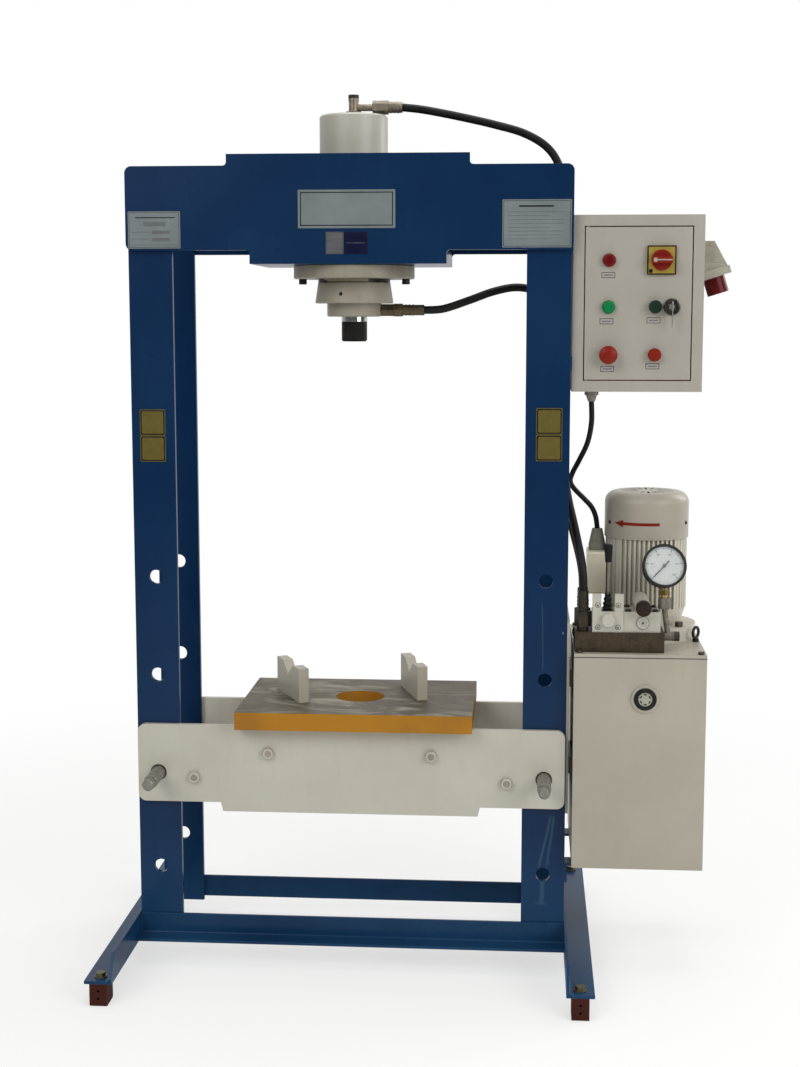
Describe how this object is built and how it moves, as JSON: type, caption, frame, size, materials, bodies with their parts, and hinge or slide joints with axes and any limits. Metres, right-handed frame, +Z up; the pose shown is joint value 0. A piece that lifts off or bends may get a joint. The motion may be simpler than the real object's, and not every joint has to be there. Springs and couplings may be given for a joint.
{
  "type": "hydraulic press",
  "caption": "Electric hydraulic shop press: H-frame with pinned bed, table, V-blocks, head cylinder with ram, control box and power unit with motor, valves and gauge.",
  "frame": {"origin": "on the floor, under the middle of the whole part", "axes": "+Z up, +X to the right towards the control box and the power unit, -Y towards the operator"},
  "size_m": [1.391, 0.852, 1.979],
  "materials": {
    "frame_blue": "gloss enamel, dark blue",
    "white_paint": "powder coat, warm white",
    "foot_red": "dull red-brown paint",
    "table_steel": "machined steel",
    "zinc_steel": "zinc-plated steel",
    "chrome_rod": "hard chrome",
    "black_steel": "black oxide",
    "hose_rubber": "smooth black rubber",
    "red_plastic": "moulded red plastic",
    "green_plastic": "moulded green plastic",
    "dark_green_plastic": "moulded dark green plastic",
    "yellow_plastic": "moulded yellow plastic",
    "grey_plastic": "moulded grey plastic",
    "black_plastic": "moulded black plastic",
    "dark_red_plastic": "moulded dark red plastic",
    "motor_grey": "grey-white enamel on cast aluminium",
    "manifold_steel": "ground steel, brownish",
    "lock_chrome": "plated zinc"
  },
  "bodies": {
    "frame": {"post_left_front": "frame_blue", "post_left_rear": "frame_blue", "post_right_front": "frame_blue", "post_right_rear": "frame_blue", "head_front_plate": "frame_blue", "head_rear_plate": "frame_blue", "cylinder_seat": "frame_blue", "foot_beams": "frame_blue", "cross_angles": "frame_blue", "foot_blocks": "foot_red", "frame_bolts": "zinc_steel", "side_brackets": "frame_blue", "bed_plates": "white_paint", "bed_spacers": "zinc_steel", "table_plate": "table_steel", "v_blocks": "white_paint", "cylinder_barrel": "white_paint", "cylinder_flange": "white_paint", "ring_nut": "white_paint", "tapered_collar": "white_paint", "rod_gland": "white_paint", "cylinder_fittings": "zinc_steel", "upper_hose": "hose_rubber", "lower_hose": "hose_rubber", "motor_cable": "hose_rubber", "box_shell": "white_paint", "inlet_hood": "grey_plastic", "power_inlet": "dark_red_plastic", "cable_glands": "grey_plastic", "tank_shell": "white_paint", "tank_lid": "white_paint", "eye_bolts": "black_steel", "sight_glass": "black_plastic", "manifold": "manifold_steel", "manifold_fittings": "zinc_steel", "directional_valve": "white_paint", "relief_valve": "white_paint", "gauge_case": "black_plastic", "motor_body": "motor_grey", "fan_cover": "white_paint", "terminal_box": "motor_grey"},
    "ram": {"piston_rod": "chrome_rod", "ram_nose": "black_steel"},
    "left_pin": {"pin_left": "zinc_steel"},
    "right_pin": {"pin_right": "zinc_steel"},
    "door": {"box_door": "white_paint", "switch_plate": "yellow_plastic", "power_lamp": "red_plastic", "pump_lamp": "green_plastic", "button_bezels": "black_plastic", "door_lock": "lock_chrome"},
    "main_switch": {"switch_knob": "red_plastic"},
    "start": {"start_button": "dark_green_plastic"},
    "stop": {"stop_button": "red_plastic"},
    "emergency": {"emergency_button": "red_plastic"},
    "key": {"door_key": "lock_chrome"},
    "lever": {"valve_lever": "black_plastic"},
    "relief": {"relief_knob": "black_plastic"},
    "needle": {"gauge_needle": "black_plastic"},
    "rotor": {"motor_fan": "black_plastic"}
  },
  "joints": [
    {"name": "ram_stroke", "type": "slide", "parent": "frame", "child": "ram", "axis": [0, 0, -1], "range_m": [0, 0.2]},
    {"name": "left_pin_pull", "type": "slide", "parent": "frame", "child": "left_pin", "axis": [0, -1, 0], "range_m": [0, 0.29]},
    {"name": "right_pin_pull", "type": "slide", "parent": "frame", "child": "right_pin", "axis": [0, -1, 0], "range_m": [0, 0.29]},
    {"name": "door_swing", "type": "hinge", "parent": "frame", "child": "door", "pos_m": [0.38, -0.1155, 1.513], "axis": [0, 0, -1], "range_deg": [0, 90]},
    {"name": "switch_turn", "type": "hinge", "parent": "door", "child": "main_switch", "pos_m": [0.5395, -0.1205, 1.607], "axis": [0, 1, 0], "range_deg": [0, 90]},
    {"name": "start_press", "type": "slide", "parent": "door", "child": "start", "axis": [0, 1, 0], "range_m": [0, 0.004], "stiffness_N_per_m": 500},
    {"name": "stop_press", "type": "slide", "parent": "door", "child": "stop", "axis": [0, 1, 0], "range_m": [0, 0.004], "stiffness_N_per_m": 500},
    {"name": "emergency_press", "type": "slide", "parent": "door", "child": "emergency", "axis": [0, 1, 0], "range_m": [0, 0.005]},
    {"name": "key_turn", "type": "hinge", "parent": "door", "child": "key", "pos_m": [0.5635, -0.1205, 1.506], "axis": [0, 1, 0], "range_deg": [0, 90]},
    {"name": "lever_tilt", "type": "hinge", "parent": "frame", "child": "lever", "pos_m": [0.435, -0.117, 0.833], "axis": [1, 0, 0], "range_deg": [-15, 15], "stiffness_Nm_per_rad": 3},
    {"name": "relief_turn", "type": "hinge", "parent": "frame", "child": "relief", "pos_m": [0.51214, -0.1513, 0.845], "axis": [0, 1, 0], "range_deg": [-180, 180]},
    {"name": "needle_sweep", "type": "hinge", "parent": "frame", "child": "needle", "pos_m": [0.55933, -0.09349, 0.92895], "axis": [-0.0994, 0.9458, -0.309], "range_deg": [0, 270], "stiffness_Nm_per_rad": 0.002},
    {"name": "motor_spin", "type": "hinge", "parent": "frame", "child": "rotor", "pos_m": [0.5315, 0.075, 1], "axis": [0, 0, 1], "continuous": true}
  ]
}
